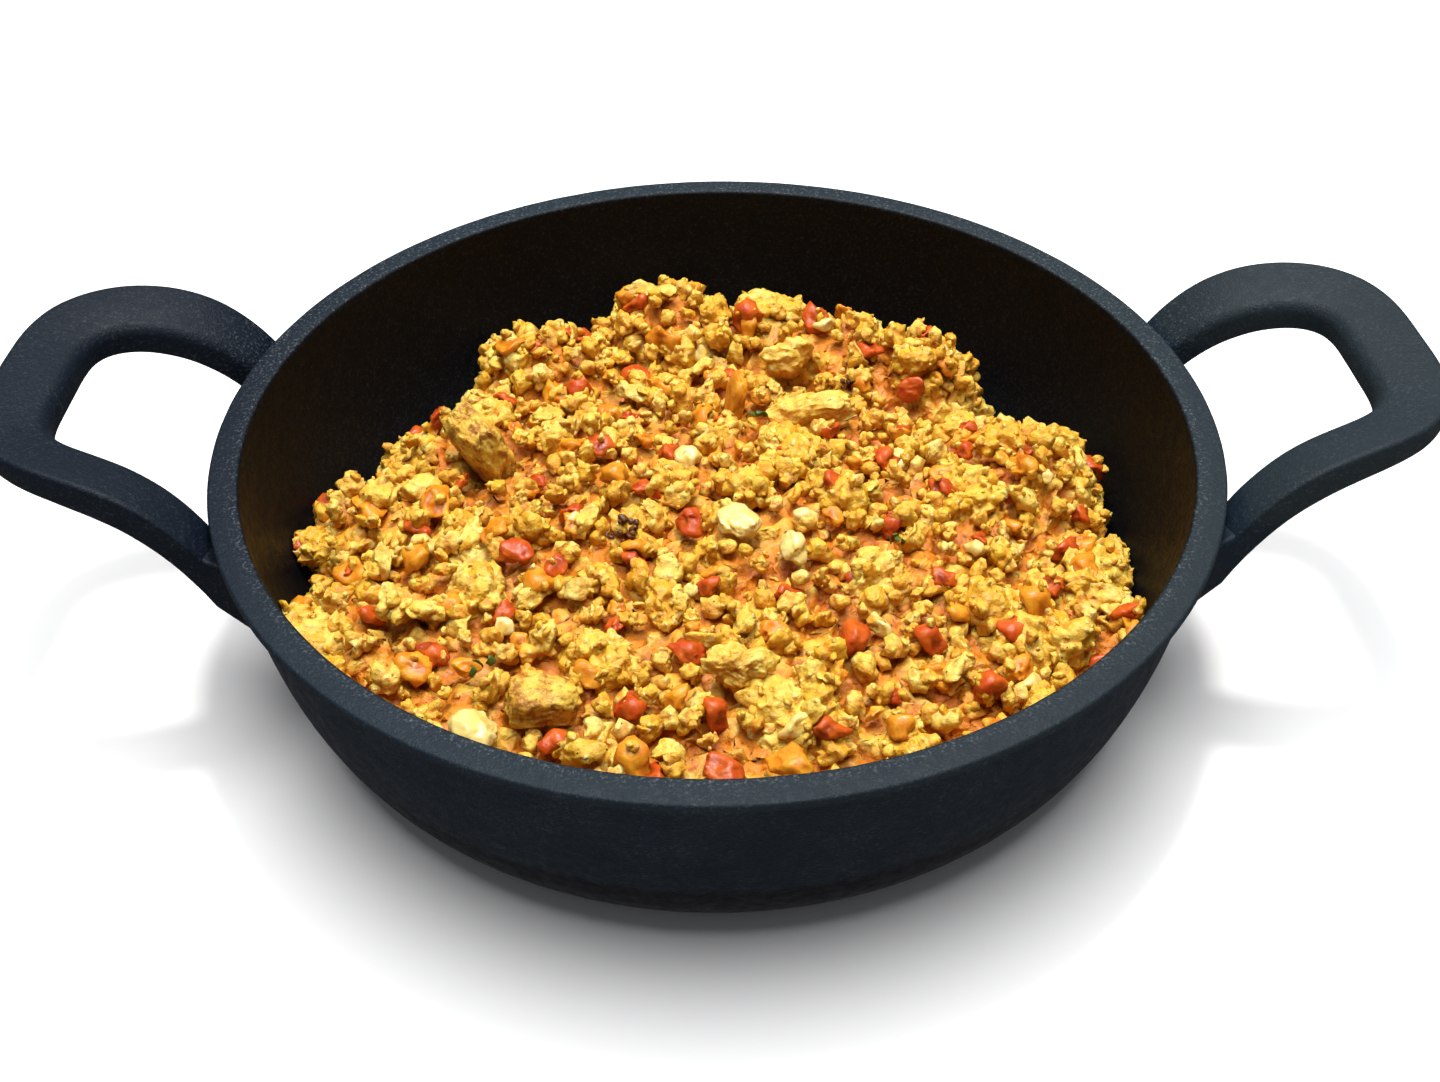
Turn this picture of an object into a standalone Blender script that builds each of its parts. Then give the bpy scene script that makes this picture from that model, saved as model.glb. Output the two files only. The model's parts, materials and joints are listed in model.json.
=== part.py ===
"""Shakshuka of soft scrambled egg, tomato and pepper, heaped in a cast iron pan with two loop handles.

Metres, +Z up. The origin is the middle of the pan's flat base, and the handles lie along X.
"""

import math

import bmesh
import bpy
from mathutils import Matrix, Vector, noise

MM = 0.001

# Pan body: a turned bowl with a narrow lip round its rim
RIM_RADIUS = 120 * MM
PAN_HEIGHT = 57.5 * MM
BASE_RADIUS = 99 * MM
WALL_TOP_RADIUS = 117 * MM
LIP_HEIGHT = 2.4 * MM
LIP_ROUNDING = 0.8 * MM
RIM_INNER_RADIUS = 114 * MM
INNER_TOP_RADIUS = 112.8 * MM
INNER_ROUNDING = 1.2 * MM
FLOOR_THICKNESS = 4.5 * MM
FLOOR_RADIUS = 96 * MM
PAN_SEGMENTS = 72
WALL_STEPS = 7

# Loop handles: a flat bar between an outer and an inner outline, rising as it leaves the wall.
# An outline is (reach, half width, squareness, spread at the root, length over which it spreads).
LOOP_OUTER = (54 * MM, 39.6 * MM, 3.3, 0.10, 50 * MM)
LOOP_INNER = (39.5 * MM, 23.4 * MM, 5.0, 0.30, 20 * MM)
LOOP_ROOT_X = 113.5 * MM
ROOT_CIRCLE = 114.8 * MM
BAR_THICKNESS = 7.6 * MM
ROOT_THICKENING = 9 * MM
THICKENING_LENGTH = 14 * MM
ROOT_DROP = 9 * MM
LOOP_RISE = 28 * MM
RISE_LENGTH = 13.5 * MM
INNER_DROP = 3.5 * MM
BAR_ROUNDINGS = (1.8 * MM, 2.8 * MM, 2.4 * MM, 2.4 * MM)
FILLET = 3 * MM
LOOP_STATIONS = 24
CORNER_STEPS = 2

# Heap of scrambled egg: (x, y, radius, height over the pan's floor) of each mound
MOUNDS = (
    (0, 10, 78, 30),
    (44, -6, 64, 28),
    (-42, -6, 64, 29),
    (0, -58, 58, 27),
    (-52, -58, 54, 25),
    (52, -58, 54, 25),
    (-82, -38, 30, 26),
    (-86, 3, 25, 27),
    (-66, 34, 26, 27),
    (-48, 66, 25, 34),
    (-13, 84, 23, 38),
    (14, 78, 22, 34),
    (36, 70, 23, 34),
    (59, 60, 20, 35),
    (80, 17, 27, 29),
    (86, -40, 26, 25),
)
MOUND_BLEND = 7.0
HEAP_EDGE = 1.6 * MM
HEAP_GAP = 0.5 * MM
HEAP_LUMPS = ((9 * MM, 1.5 * MM), (19 * MM, 2.2 * MM))
HEAP_SEGMENTS = 66
HEAP_RINGS = 14
HEAP_LIMIT = 110 * MM
EDGE_MARCH = 0.5 * MM

# Pieces that lie in the top of the heap: (name, finish, x, y, half sizes, turn, tilt), in mm and degrees
TOPPINGS = (
    ("egg_slab_browned", "egg_browned", -62, 19, (12.5, 9, 11), 20, 25),
    ("egg_roll", "egg", 26, 34, (10, 4.6, 4.8), 6, 0),
    ("egg_fold_back", "egg", 22, 60, (9.5, 8, 7.5), -15, 10),
    ("egg_slab_front", "egg_browned", -40, -68, (7.6, 7.6, 5.4), 10, 18),
    ("egg_curd_front", "egg", 3, -62, (7.6, 7.0, 5.6), 0, 12),
    ("egg_fold_left", "egg", -76, -38, (3.6, 8.0, 5.2), -8, 0),
    ("egg_white_front", "egg_white", -54, -76, (5.2, 5.0, 4.2), 0, 0),
    ("egg_white_centre", "egg_white", 6, -16, (6.0, 6.0, 4.2), 20, 0),
    ("egg_white_long", "egg_white", 17, -24, (3.3, 6.6, 3.4), 10, 0),
    ("pepper_strip", "pepper", 6, 39, (3.6, 9.0, 2.4), 4, 48),
    ("pepper_front", "pepper", 13, -86, (5.4, 4.4, 4.2), 10, 15),
    ("pepper_disc", "pepper", -58, -58, (3.8, 3.6, 2.2), 0, 20),
    ("tomato_centre", "tomato", -7, -13, (5.0, 4.2, 3.0), -20, 15),
    ("tomato_left", "tomato", -49, -23, (4.6, 3.6, 2.8), -30, 10),
    ("tomato_back", "tomato", 56, 46, (4.8, 4.2, 4.4), 10, 20),
    ("tomato_front", "tomato", -2, -88, (5.0, 3.8, 3.6), -5, 20),
    ("tomato_right", "tomato", 30, -51, (4.0, 6.0, 3.6), 8, 12),
)
TOPPING_LIFT = 0.25
TOPPING_GAP = 0.5 * MM
TOPPING_UNEVENNESS = 0.10

FINISHES = {
    "cast_iron": ((0.030, 0.040, 0.050), 0.55, 0.35),
    "egg": ((0.85, 0.62, 0.22), 0.5, 0.0),
    "egg_white": ((0.88, 0.78, 0.52), 0.4, 0.0),
    "egg_browned": ((0.80, 0.47, 0.12), 0.45, 0.0),
    "tomato": ((0.66, 0.11, 0.04), 0.3, 0.0),
    "pepper": ((0.72, 0.33, 0.05), 0.35, 0.0),
}


def clear_scene():
    for old in list(bpy.data.objects):
        bpy.data.objects.remove(old, do_unlink=True)


def finish(name):
    made = bpy.data.materials.get(name)
    if made:
        return made
    colour, roughness, metallic = FINISHES[name]
    made = bpy.data.materials.new(name)
    made.use_nodes = True
    shader = made.node_tree.nodes["Principled BSDF"]
    shader.inputs["Base Color"].default_value = (*colour, 1.0)
    shader.inputs["Roughness"].default_value = roughness
    shader.inputs["Metallic"].default_value = metallic
    return made


def new_object(name, bm, finish_name):
    bmesh.ops.recalc_face_normals(bm, faces=bm.faces)
    mesh = bpy.data.meshes.new(name)
    bm.to_mesh(mesh)
    bm.free()
    mesh.materials.append(finish(finish_name))
    mesh.shade_smooth()
    mesh.set_sharp_from_angle(angle=math.radians(40))
    made = bpy.data.objects.new(name, mesh)
    bpy.context.scene.collection.objects.link(made)
    return made


def as_cutter(made):
    made.hide_render = True
    made.display_type = "WIRE"


def add_boolean(target, operation, other):
    step = target.modifiers.new(other.name, "BOOLEAN")
    step.operation = operation
    step.solver = "EXACT"
    step.object = other


def arc(centre, radius, start, end, steps):
    """Points of an arc in a (radius, height) plane, angles in degrees from the outward direction."""
    angles = [math.radians(start + (end - start) * i / steps) for i in range(steps + 1)]
    return [(centre[0] + radius * math.cos(a), centre[1] + radius * math.sin(a)) for a in angles]


def wall_curve(base_radius, base_z, top_radius, top_z, steps):
    """A quarter ellipse from the top of a wall, where it stands upright, to the flat that it runs into."""
    points = []
    for i in range(steps + 1):
        a = math.pi / 2 * i / steps
        across = (top_radius - base_radius) * math.cos(a)
        down = (top_z - base_z) * math.sin(a)
        points.append((base_radius + across, top_z - down))
    return points


def inner_wall_top():
    return PAN_HEIGHT - INNER_ROUNDING


def inner_height(radius):
    """Height of the pan's inner surface at a distance from its axis."""
    if radius <= FLOOR_RADIUS:
        return FLOOR_THICKNESS
    across = min(1.0, (radius - FLOOR_RADIUS) / (INNER_TOP_RADIUS - FLOOR_RADIUS))
    rise = 1.0 - math.sqrt(1.0 - across * across)
    return FLOOR_THICKNESS + (inner_wall_top() - FLOOR_THICKNESS) * rise


def pan_profile():
    """The bowl's section from the edge of its base, up outside, over the rim and down inside."""
    outer_top = PAN_HEIGHT - LIP_HEIGHT - LIP_ROUNDING
    outside = wall_curve(BASE_RADIUS, 0.0, WALL_TOP_RADIUS, outer_top, WALL_STEPS)
    inside = wall_curve(FLOOR_RADIUS, FLOOR_THICKNESS, INNER_TOP_RADIUS, inner_wall_top(), WALL_STEPS)
    lip_inset = RIM_RADIUS - LIP_ROUNDING
    lip_low = PAN_HEIGHT - LIP_HEIGHT + LIP_ROUNDING / 2
    lip_top = arc((lip_inset, PAN_HEIGHT - LIP_ROUNDING), LIP_ROUNDING, 0, 90, 2)
    inner_lip = arc((RIM_INNER_RADIUS, inner_wall_top()), INNER_ROUNDING, 90, 180, 2)
    under_lip = [(lip_inset, lip_low - LIP_ROUNDING), (RIM_RADIUS, lip_low)]
    return list(reversed(outside)) + under_lip + lip_top + inner_lip + inside[1:]


def turned_pan():
    bm = bmesh.new()
    rings = []
    for radius, z in pan_profile():
        ring = []
        for i in range(PAN_SEGMENTS):
            a = 2 * math.pi * i / PAN_SEGMENTS
            ring.append(bm.verts.new((radius * math.cos(a), radius * math.sin(a), z)))
        rings.append(ring)
    for low, high in zip(rings, rings[1:]):
        for i in range(PAN_SEGMENTS):
            j = (i + 1) % PAN_SEGMENTS
            bm.faces.new((low[i], low[j], high[j], high[i]))
    bm.faces.new(list(reversed(rings[0])))
    bm.faces.new(rings[-1])
    return new_object("pan", bm, "cast_iron")


def loop_outline(outline):
    """Evenly spaced points along one edge of a loop, from its front root to its back one."""
    reach, half_width, squareness, spread, spread_length = outline
    fine = []
    count = 400
    power = 2.0 / squareness
    for i in range(count + 1):
        a = -math.pi / 2 + math.pi * i / count
        out = reach * abs(math.cos(a)) ** power
        y = math.copysign(half_width * abs(math.sin(a)) ** power, a)
        y *= 1.0 + spread * math.exp(-out / spread_length)
        fine.append(Vector((LOOP_ROOT_X + out, y)))
    lengths = [0.0]
    for a, b in zip(fine, fine[1:]):
        lengths.append(lengths[-1] + (b - a).length)
    points = []
    k = 0
    for i in range(LOOP_STATIONS + 1):
        wanted = lengths[-1] * i / LOOP_STATIONS
        while k < count - 1 and lengths[k + 1] < wanted:
            k += 1
        share = (wanted - lengths[k]) / (lengths[k + 1] - lengths[k])
        points.append(fine[k].lerp(fine[k + 1], share))
    return points


def loop_top(x):
    out = max(0.0, x - LOOP_ROOT_X)
    return PAN_HEIGHT - ROOT_DROP + LOOP_RISE * (1.0 - math.exp(-out / RISE_LENGTH))


def flare(gap):
    """Extra half width where the bar meets the wall, as a quarter-round fillet."""
    if gap >= FILLET:
        return 0.0
    return FILLET - math.sqrt(FILLET**2 - (FILLET - max(0.0, gap)) ** 2)


def bar_section(half_width, thickness):
    """Rounded rectangle as (across, depth) points, with across positive on the loop's outer side."""
    outer_top, inner_top, inner_low, outer_low = BAR_ROUNDINGS
    corners = (
        (half_width - outer_top, -outer_top, outer_top, 0),
        (inner_top - half_width, -inner_top, inner_top, 90),
        (inner_low - half_width, inner_low - thickness, inner_low, 180),
        (half_width - outer_low, outer_low - thickness, outer_low, 270),
    )
    points = []
    for across, depth, radius, start in corners:
        points += arc((across, depth), radius, start, start + 90, CORNER_STEPS)
    return points


def loop_bar(side, name):
    """One loop handle, from inside the wall and back into it."""
    outer_edge = loop_outline(LOOP_OUTER)
    inner_edge = loop_outline(LOOP_INNER)
    last = LOOP_STATIONS
    bm = bmesh.new()
    rings = []
    for i, (outer, inner) in enumerate(zip(outer_edge, inner_edge)):
        middle = (outer + inner) / 2
        across = (outer - inner).normalized()
        half_width = (outer - inner).length / 2
        near = math.exp(-max(0.0, middle.x - LOOP_ROOT_X) / THICKENING_LENGTH)
        thickness = BAR_THICKNESS + ROOT_THICKENING * near
        spread = FILLET if i in (0, last) else flare(middle.length - WALL_TOP_RADIUS)
        ring = []
        for u, depth in bar_section(half_width + spread, thickness + spread):
            x, y = middle + across * u
            inward = 0.5 - 0.5 * u / half_width
            z = loop_top(x) + depth - INNER_DROP * inward
            if i in (0, last):
                x = math.sqrt(ROOT_CIRCLE**2 - y * y)
                z = loop_top(LOOP_ROOT_X) + depth
            ring.append(bm.verts.new((side * x, y, z)))
        rings.append(ring)
    count = len(rings[0])
    for low, high in zip(rings, rings[1:]):
        for i in range(count):
            j = (i + 1) % count
            bm.faces.new((low[i], low[j], high[j], high[i]))
    bm.faces.new(rings[0])
    bm.faces.new(rings[-1])
    bar = new_object(name, bm, "cast_iron")
    as_cutter(bar)
    return bar


def make_pan():
    pan = turned_pan()
    for side, name in ((1, "guide_loop_right"), (-1, "guide_loop_left")):
        add_boolean(pan, "UNION", loop_bar(side, name))
    return pan


def heap_height(x, y):
    """Height of the heap over the pan's floor: the mounds run together, roughened by lumps."""
    total = 0.0
    for mound_x, mound_y, radius, height in MOUNDS:
        away = math.hypot(x - mound_x * MM, y - mound_y * MM) / (radius * MM)
        if away < 1.0:
            total += (height * math.sqrt(1.0 - away * away)) ** MOUND_BLEND
    body = total ** (1.0 / MOUND_BLEND) * MM
    lumps = sum(high * noise.noise(Vector((x / wide, y / wide, 3.0))) for wide, high in HEAP_LUMPS)
    return body + lumps * min(1.0, body / (12 * MM))


def heap_top(x, y):
    return FLOOR_THICKNESS + heap_height(x, y)


def heap_underside(radius):
    """Height of the heap's underside, kept off the floor and the wall alike."""
    return inner_height(radius + HEAP_GAP) + HEAP_GAP


def heap_reach(angle):
    """How far the heap runs from the middle before it comes down to the pan."""
    reach = 0.0
    while reach < HEAP_LIMIT:
        out = reach + EDGE_MARCH
        top = heap_top(out * math.cos(angle), out * math.sin(angle))
        if top < heap_underside(out) + HEAP_EDGE:
            break
        reach = out
    return reach


def make_heap():
    """One solid, uneven on top and at its outline, lying a hair over the pan's floor and wall."""
    bm = bmesh.new()
    reaches = [heap_reach(2 * math.pi * i / HEAP_SEGMENTS) for i in range(HEAP_SEGMENTS)]
    tops = []
    bottoms = []
    for r in range(1, HEAP_RINGS + 1):
        top_ring = []
        bottom_ring = []
        for i, reach in enumerate(reaches):
            a = 2 * math.pi * i / HEAP_SEGMENTS
            out = reach * r / HEAP_RINGS
            x, y = out * math.cos(a), out * math.sin(a)
            low = heap_underside(out)
            top_ring.append(bm.verts.new((x, y, max(heap_top(x, y), low + HEAP_EDGE))))
            bottom_ring.append(bm.verts.new((x, y, low)))
        tops.append(top_ring)
        bottoms.append(bottom_ring)
    peak = bm.verts.new((0, 0, heap_top(0, 0)))
    under = bm.verts.new((0, 0, FLOOR_THICKNESS + HEAP_GAP))
    for i in range(HEAP_SEGMENTS):
        j = (i + 1) % HEAP_SEGMENTS
        bm.faces.new((peak, tops[0][i], tops[0][j]))
        bm.faces.new((under, bottoms[0][j], bottoms[0][i]))
        for low, high in zip(tops, tops[1:]):
            bm.faces.new((low[i], high[i], high[j], low[j]))
        for low, high in zip(bottoms, bottoms[1:]):
            bm.faces.new((low[i], low[j], high[j], high[i]))
        bm.faces.new((tops[-1][i], bottoms[-1][i], bottoms[-1][j], tops[-1][j]))
    bmesh.ops.triangulate(bm, faces=bm.faces)
    return new_object("egg_scramble", bm, "egg")


def lump(name, finish_name, spot, half_sizes, turn, tilt, grow=0.0):
    """An uneven rounded piece; grow widens it evenly, for the socket that it lies in."""
    bm = bmesh.new()
    bmesh.ops.create_icosphere(bm, subdivisions=2, radius=1.0)
    seed = Vector((spot.x, spot.y, 0.0)) / (10 * MM)
    for v in bm.verts:
        uneven = 1.0 + TOPPING_UNEVENNESS * noise.noise(v.co * 1.4 + seed)
        v.co = Vector([v.co[k] * (half_sizes[k] * MM * uneven + grow) for k in range(3)])
    placed = (
        Matrix.Translation(spot)
        @ Matrix.Rotation(math.radians(turn), 4, "Z")
        @ Matrix.Rotation(math.radians(tilt), 4, "X")
    )
    bmesh.ops.transform(bm, matrix=placed, verts=bm.verts)
    return new_object(name, bm, finish_name)


def make_toppings(heap):
    for name, finish_name, x, y, half_sizes, turn, tilt in TOPPINGS:
        z = heap_top(x * MM, y * MM) + TOPPING_LIFT * half_sizes[2] * MM
        spot = Vector((x * MM, y * MM, z))
        lump(name, finish_name, spot, half_sizes, turn, tilt)
        socket = lump("socket_" + name, finish_name, spot, half_sizes, turn, tilt, TOPPING_GAP)
        as_cutter(socket)
        add_boolean(heap, "DIFFERENCE", socket)


clear_scene()
make_pan()
make_toppings(make_heap())
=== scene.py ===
"""Looks for a cast iron pan of shakshuka made with scrambled egg, tomato and pepper.

Metres, +Z up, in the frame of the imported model: the middle of the pan's base is the origin.
"""

import json
import math

import bmesh
import bpy
import numpy as np
from mathutils import Euler, Matrix, Vector, noise
from mathutils.bvhtree import BVHTree


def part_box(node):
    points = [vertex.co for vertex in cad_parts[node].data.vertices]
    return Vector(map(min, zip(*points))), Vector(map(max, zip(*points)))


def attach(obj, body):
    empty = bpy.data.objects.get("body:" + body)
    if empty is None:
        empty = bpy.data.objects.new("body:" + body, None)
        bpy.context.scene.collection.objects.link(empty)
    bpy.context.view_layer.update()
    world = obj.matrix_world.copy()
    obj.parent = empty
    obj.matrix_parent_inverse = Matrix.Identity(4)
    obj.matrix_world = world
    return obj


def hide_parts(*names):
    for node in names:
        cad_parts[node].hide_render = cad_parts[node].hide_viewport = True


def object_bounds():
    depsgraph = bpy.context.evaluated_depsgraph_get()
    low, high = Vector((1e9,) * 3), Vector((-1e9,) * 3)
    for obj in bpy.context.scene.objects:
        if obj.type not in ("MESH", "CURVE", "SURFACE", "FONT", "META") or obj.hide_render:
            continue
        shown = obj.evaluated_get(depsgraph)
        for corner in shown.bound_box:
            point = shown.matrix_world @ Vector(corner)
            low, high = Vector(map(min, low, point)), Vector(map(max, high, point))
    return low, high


MM = 0.001
NOISE_SEED = 1

# Without a seed, mathutils shifts its vector noise by the time of day
noise.seed_set(NOISE_SEED)

# Pan body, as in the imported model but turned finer
RIM_RADIUS = 120 * MM
PAN_HEIGHT = 57.5 * MM
BASE_RADIUS = 99 * MM
WALL_TOP_RADIUS = 117 * MM
LIP_HEIGHT = 2.4 * MM
LIP_ROUNDING = 0.8 * MM
RIM_INNER_RADIUS = 114 * MM
INNER_TOP_RADIUS = 112.8 * MM
INNER_ROUNDING = 1.2 * MM
FLOOR_THICKNESS = 4.5 * MM
FLOOR_RADIUS = 96 * MM
PAN_SEGMENTS = 240
WALL_STEPS = 22

# Loop handles: (reach, half width, squareness, spread at the root, length over which it spreads)
LOOP_OUTER = (54 * MM, 39.6 * MM, 3.3, 0.10, 50 * MM)
LOOP_INNER = (39.5 * MM, 23.4 * MM, 5.0, 0.30, 20 * MM)
LOOP_ROOT_X = 113.5 * MM
ROOT_CIRCLE = 114.8 * MM
BAR_THICKNESS = 7.6 * MM
ROOT_THICKENING = 9 * MM
THICKENING_LENGTH = 14 * MM
ROOT_DROP = 9 * MM
LOOP_RISE = 28 * MM
RISE_LENGTH = 13.5 * MM
INNER_DROP = 3.5 * MM
BAR_ROUNDINGS = (1.8 * MM, 2.8 * MM, 2.4 * MM, 2.4 * MM)
FILLET = 3 * MM
LOOP_STATIONS = 88
LOOP_FINE_STEPS = 1600
CORNER_STEPS = 6
CASTING_UNEVENNESS = 0.12 * MM
CASTING_SWELL = 7 * MM
SHARP_ANGLE = 38

# Food keeps this far off the iron
FOOD_GAP = 0.3 * MM
HEAP_GRID = 2.2 * MM
CORE_SINK = 1.9 * MM
CORE_VOXEL = 1.6 * MM
CORE_LUMP_SPACING = 4.2 * MM
TOPPING_SHADE = 0.35
POINTS_PER_AREA = 4.0e5
SEED_STEP = 101


def arc(centre, radius, start, end, steps):
    """Points of an arc in a (radius, height) plane, angles in degrees from the outward direction."""
    angles = [math.radians(start + (end - start) * i / steps) for i in range(steps + 1)]
    return [(centre[0] + radius * math.cos(a), centre[1] + radius * math.sin(a)) for a in angles]


def wall_curve(base_radius, base_z, top_radius, top_z, steps):
    """A quarter ellipse from the top of a wall, where it stands upright, to the flat it runs into."""
    points = []
    for i in range(steps + 1):
        a = math.pi / 2 * i / steps
        across = (top_radius - base_radius) * math.cos(a)
        down = (top_z - base_z) * math.sin(a)
        points.append((base_radius + across, top_z - down))
    return points


def pan_profile():
    """The bowl's section from the middle of its base, up outside, over the rim and down to the middle."""
    outer_top = PAN_HEIGHT - LIP_HEIGHT - LIP_ROUNDING
    inner_top = PAN_HEIGHT - INNER_ROUNDING
    outside = wall_curve(BASE_RADIUS, 0.0, WALL_TOP_RADIUS, outer_top, WALL_STEPS)
    inside = wall_curve(FLOOR_RADIUS, FLOOR_THICKNESS, INNER_TOP_RADIUS, inner_top, WALL_STEPS)
    lip_inset = RIM_RADIUS - LIP_ROUNDING
    lip_low = PAN_HEIGHT - LIP_HEIGHT + LIP_ROUNDING / 2
    lip_top = arc((lip_inset, PAN_HEIGHT - LIP_ROUNDING), LIP_ROUNDING, 0, 90, CORNER_STEPS)
    inner_lip = arc((RIM_INNER_RADIUS, inner_top), INNER_ROUNDING, 90, 180, CORNER_STEPS)
    under_lip = [(lip_inset, lip_low - LIP_ROUNDING), (RIM_RADIUS, lip_low)]
    base = [(BASE_RADIUS * share, 0.0) for share in (0.5, 0.97)]
    floor = [(FLOOR_RADIUS * share, FLOOR_THICKNESS) for share in (0.97, 0.75, 0.5, 0.25)]
    return base + list(reversed(outside)) + under_lip + lip_top + inner_lip + inside[1:] + floor


def new_object(name, mesh, material=None):
    made = bpy.data.objects.new(name, mesh)
    bpy.context.scene.collection.objects.link(made)
    if material:
        mesh.materials.clear()
        mesh.materials.append(material)
    return made


def mesh_from_bm(name, bm):
    mesh = bpy.data.meshes.new(name)
    bm.to_mesh(mesh)
    bm.free()
    mesh.shade_smooth()
    return mesh


def points_of(mesh, what="co"):
    """The places or the normals of a mesh's points, as rows of x, y, z."""
    rows = np.empty(len(mesh.vertices) * 3)
    mesh.vertices.foreach_get(what, rows)
    return rows.reshape(-1, 3)


def move_points(mesh, places):
    mesh.vertices.foreach_set("co", places.ravel())
    mesh.update()


def store(mesh, name, values):
    """Stores a number for each of a mesh's points, for its finish to read."""
    mesh.attributes.new(name, "FLOAT", "POINT").data.foreach_set("value", values)


def plain_mesh(made):
    """The evaluated mesh of an object, with its modifiers taken up."""
    depsgraph = bpy.context.evaluated_depsgraph_get()
    depsgraph.update()
    return bpy.data.meshes.new_from_object(made.evaluated_get(depsgraph))


def discard(*objects):
    for made in objects:
        bpy.data.objects.remove(made, do_unlink=True)


def add_node(tree, kind, *given, **values):
    """Adds a node: lower-case words are its settings, the rest its inputs, by order or by name."""
    made = tree.nodes.new(kind)
    inputs = list(enumerate(given))
    for word, value in values.items():
        if word.islower():
            setattr(made, word, value)
        else:
            inputs.append((word.replace("_", " "), value))
    for place, value in inputs:
        socket = made.inputs[place]
        if isinstance(value, bpy.types.NodeSocket):
            tree.links.new(value, socket)
        else:
            socket.default_value = value
    return made


def join_rings(bm, rings):
    """Faces between closed rings of points, each joined to the next."""
    count = len(rings[0])
    for low, high in zip(rings, rings[1:]):
        for i in range(count):
            j = (i + 1) % count
            bm.faces.new((low[i], low[j], high[j], high[i]))


def turned_pan():
    bm = bmesh.new()
    rings = []
    for radius, z in pan_profile():
        ring = []
        for i in range(PAN_SEGMENTS):
            a = 2 * math.pi * i / PAN_SEGMENTS
            ring.append(bm.verts.new((radius * math.cos(a), radius * math.sin(a), z)))
        rings.append(ring)
    join_rings(bm, rings)
    bm.faces.new(list(reversed(rings[0])))
    bm.faces.new(rings[-1])
    return mesh_from_bm("pan_body", bm)


def loop_outline(outline):
    """Evenly spaced points along one edge of a loop, from its front root to its back one."""
    reach, half_width, squareness, spread, spread_length = outline
    fine = []
    count = LOOP_FINE_STEPS
    power = 2.0 / squareness
    for i in range(count + 1):
        a = -math.pi / 2 + math.pi * i / count
        out = reach * abs(math.cos(a)) ** power
        y = math.copysign(half_width * abs(math.sin(a)) ** power, a)
        y *= 1.0 + spread * math.exp(-out / spread_length)
        fine.append(Vector((LOOP_ROOT_X + out, y)))
    lengths = [0.0]
    for a, b in zip(fine, fine[1:]):
        lengths.append(lengths[-1] + (b - a).length)
    points = []
    k = 0
    for i in range(LOOP_STATIONS + 1):
        wanted = lengths[-1] * i / LOOP_STATIONS
        while k < count - 1 and lengths[k + 1] < wanted:
            k += 1
        share = (wanted - lengths[k]) / (lengths[k + 1] - lengths[k])
        points.append(fine[k].lerp(fine[k + 1], share))
    return points


def loop_top(x):
    out = max(0.0, x - LOOP_ROOT_X)
    return PAN_HEIGHT - ROOT_DROP + LOOP_RISE * (1.0 - math.exp(-out / RISE_LENGTH))


def flare(gap):
    """Extra half width where the bar meets the wall, as a quarter-round fillet."""
    if gap >= FILLET:
        return 0.0
    return FILLET - math.sqrt(FILLET**2 - (FILLET - max(0.0, gap)) ** 2)


def bar_section(half_width, thickness):
    """Rounded rectangle as (across, depth) points, with across positive on the loop's outer side."""
    outer_top, inner_top, inner_low, outer_low = BAR_ROUNDINGS
    corners = (
        (half_width - outer_top, -outer_top, outer_top, 0),
        (inner_top - half_width, -inner_top, inner_top, 90),
        (inner_low - half_width, inner_low - thickness, inner_low, 180),
        (half_width - outer_low, outer_low - thickness, outer_low, 270),
    )
    points = []
    for across, depth, radius, start in corners:
        points += arc((across, depth), radius, start, start + 90, CORNER_STEPS)
    return points


def loop_bar(side):
    """One loop handle, from inside the wall and back into it."""
    outer_edge = loop_outline(LOOP_OUTER)
    inner_edge = loop_outline(LOOP_INNER)
    last = LOOP_STATIONS
    bm = bmesh.new()
    rings = []
    for i, (outer, inner) in enumerate(zip(outer_edge, inner_edge)):
        middle = (outer + inner) / 2
        across = (outer - inner).normalized()
        half_width = (outer - inner).length / 2
        near = math.exp(-max(0.0, middle.x - LOOP_ROOT_X) / THICKENING_LENGTH)
        thickness = BAR_THICKNESS + ROOT_THICKENING * near
        spread = FILLET if i in (0, last) else flare(middle.length - WALL_TOP_RADIUS)
        ring = []
        for u, depth in bar_section(half_width + spread, thickness + spread):
            x, y = middle + across * u
            inward = 0.5 - 0.5 * u / half_width
            z = loop_top(x) + depth - INNER_DROP * inward
            if i in (0, last):
                x = math.sqrt(ROOT_CIRCLE**2 - y * y)
                z = loop_top(LOOP_ROOT_X) + depth
            ring.append(bm.verts.new((side * x, y, z)))
        rings.append(ring)
    join_rings(bm, rings)
    bm.faces.new(rings[0])
    bm.faces.new(rings[-1])
    bmesh.ops.recalc_face_normals(bm, faces=bm.faces)
    return mesh_from_bm("loop_bar", bm)


def make_pan(material):
    """The bowl and its two loops as one casting, very slightly uneven as sand leaves it."""
    pan = new_object("pan_blank", turned_pan())
    bars = [new_object("loop_blank", loop_bar(side)) for side in (1, -1)]
    for bar in bars:
        union = pan.modifiers.new("union", "BOOLEAN")
        union.operation = "UNION"
        union.solver = "EXACT"
        union.object = bar
    mesh = plain_mesh(pan)
    discard(pan, *bars)
    uneven_casting(mesh)
    mesh.set_sharp_from_angle(angle=math.radians(SHARP_ANGLE))
    return new_object("cast_iron_pan", mesh, material)


def uneven_casting(mesh):
    """Moves the skin inwards by up to a tenth of a millimetre, in swells as wide as a finger."""
    places = points_of(mesh)
    normals = points_of(mesh, "normal")
    depth = np.array([noise.noise(Vector(p) / CASTING_SWELL) for p in places])
    on_base = places[:, 2] < 0.2 * MM
    depth[on_base] = -1.0
    places -= normals * (CASTING_UNEVENNESS * (0.5 + 0.5 * depth))[:, None]
    places[:, 2] = np.minimum(places[:, 2], cad_box[1][2])
    move_points(mesh, places)


# Food shapes ---------------------------------------------------------------------------------


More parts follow.
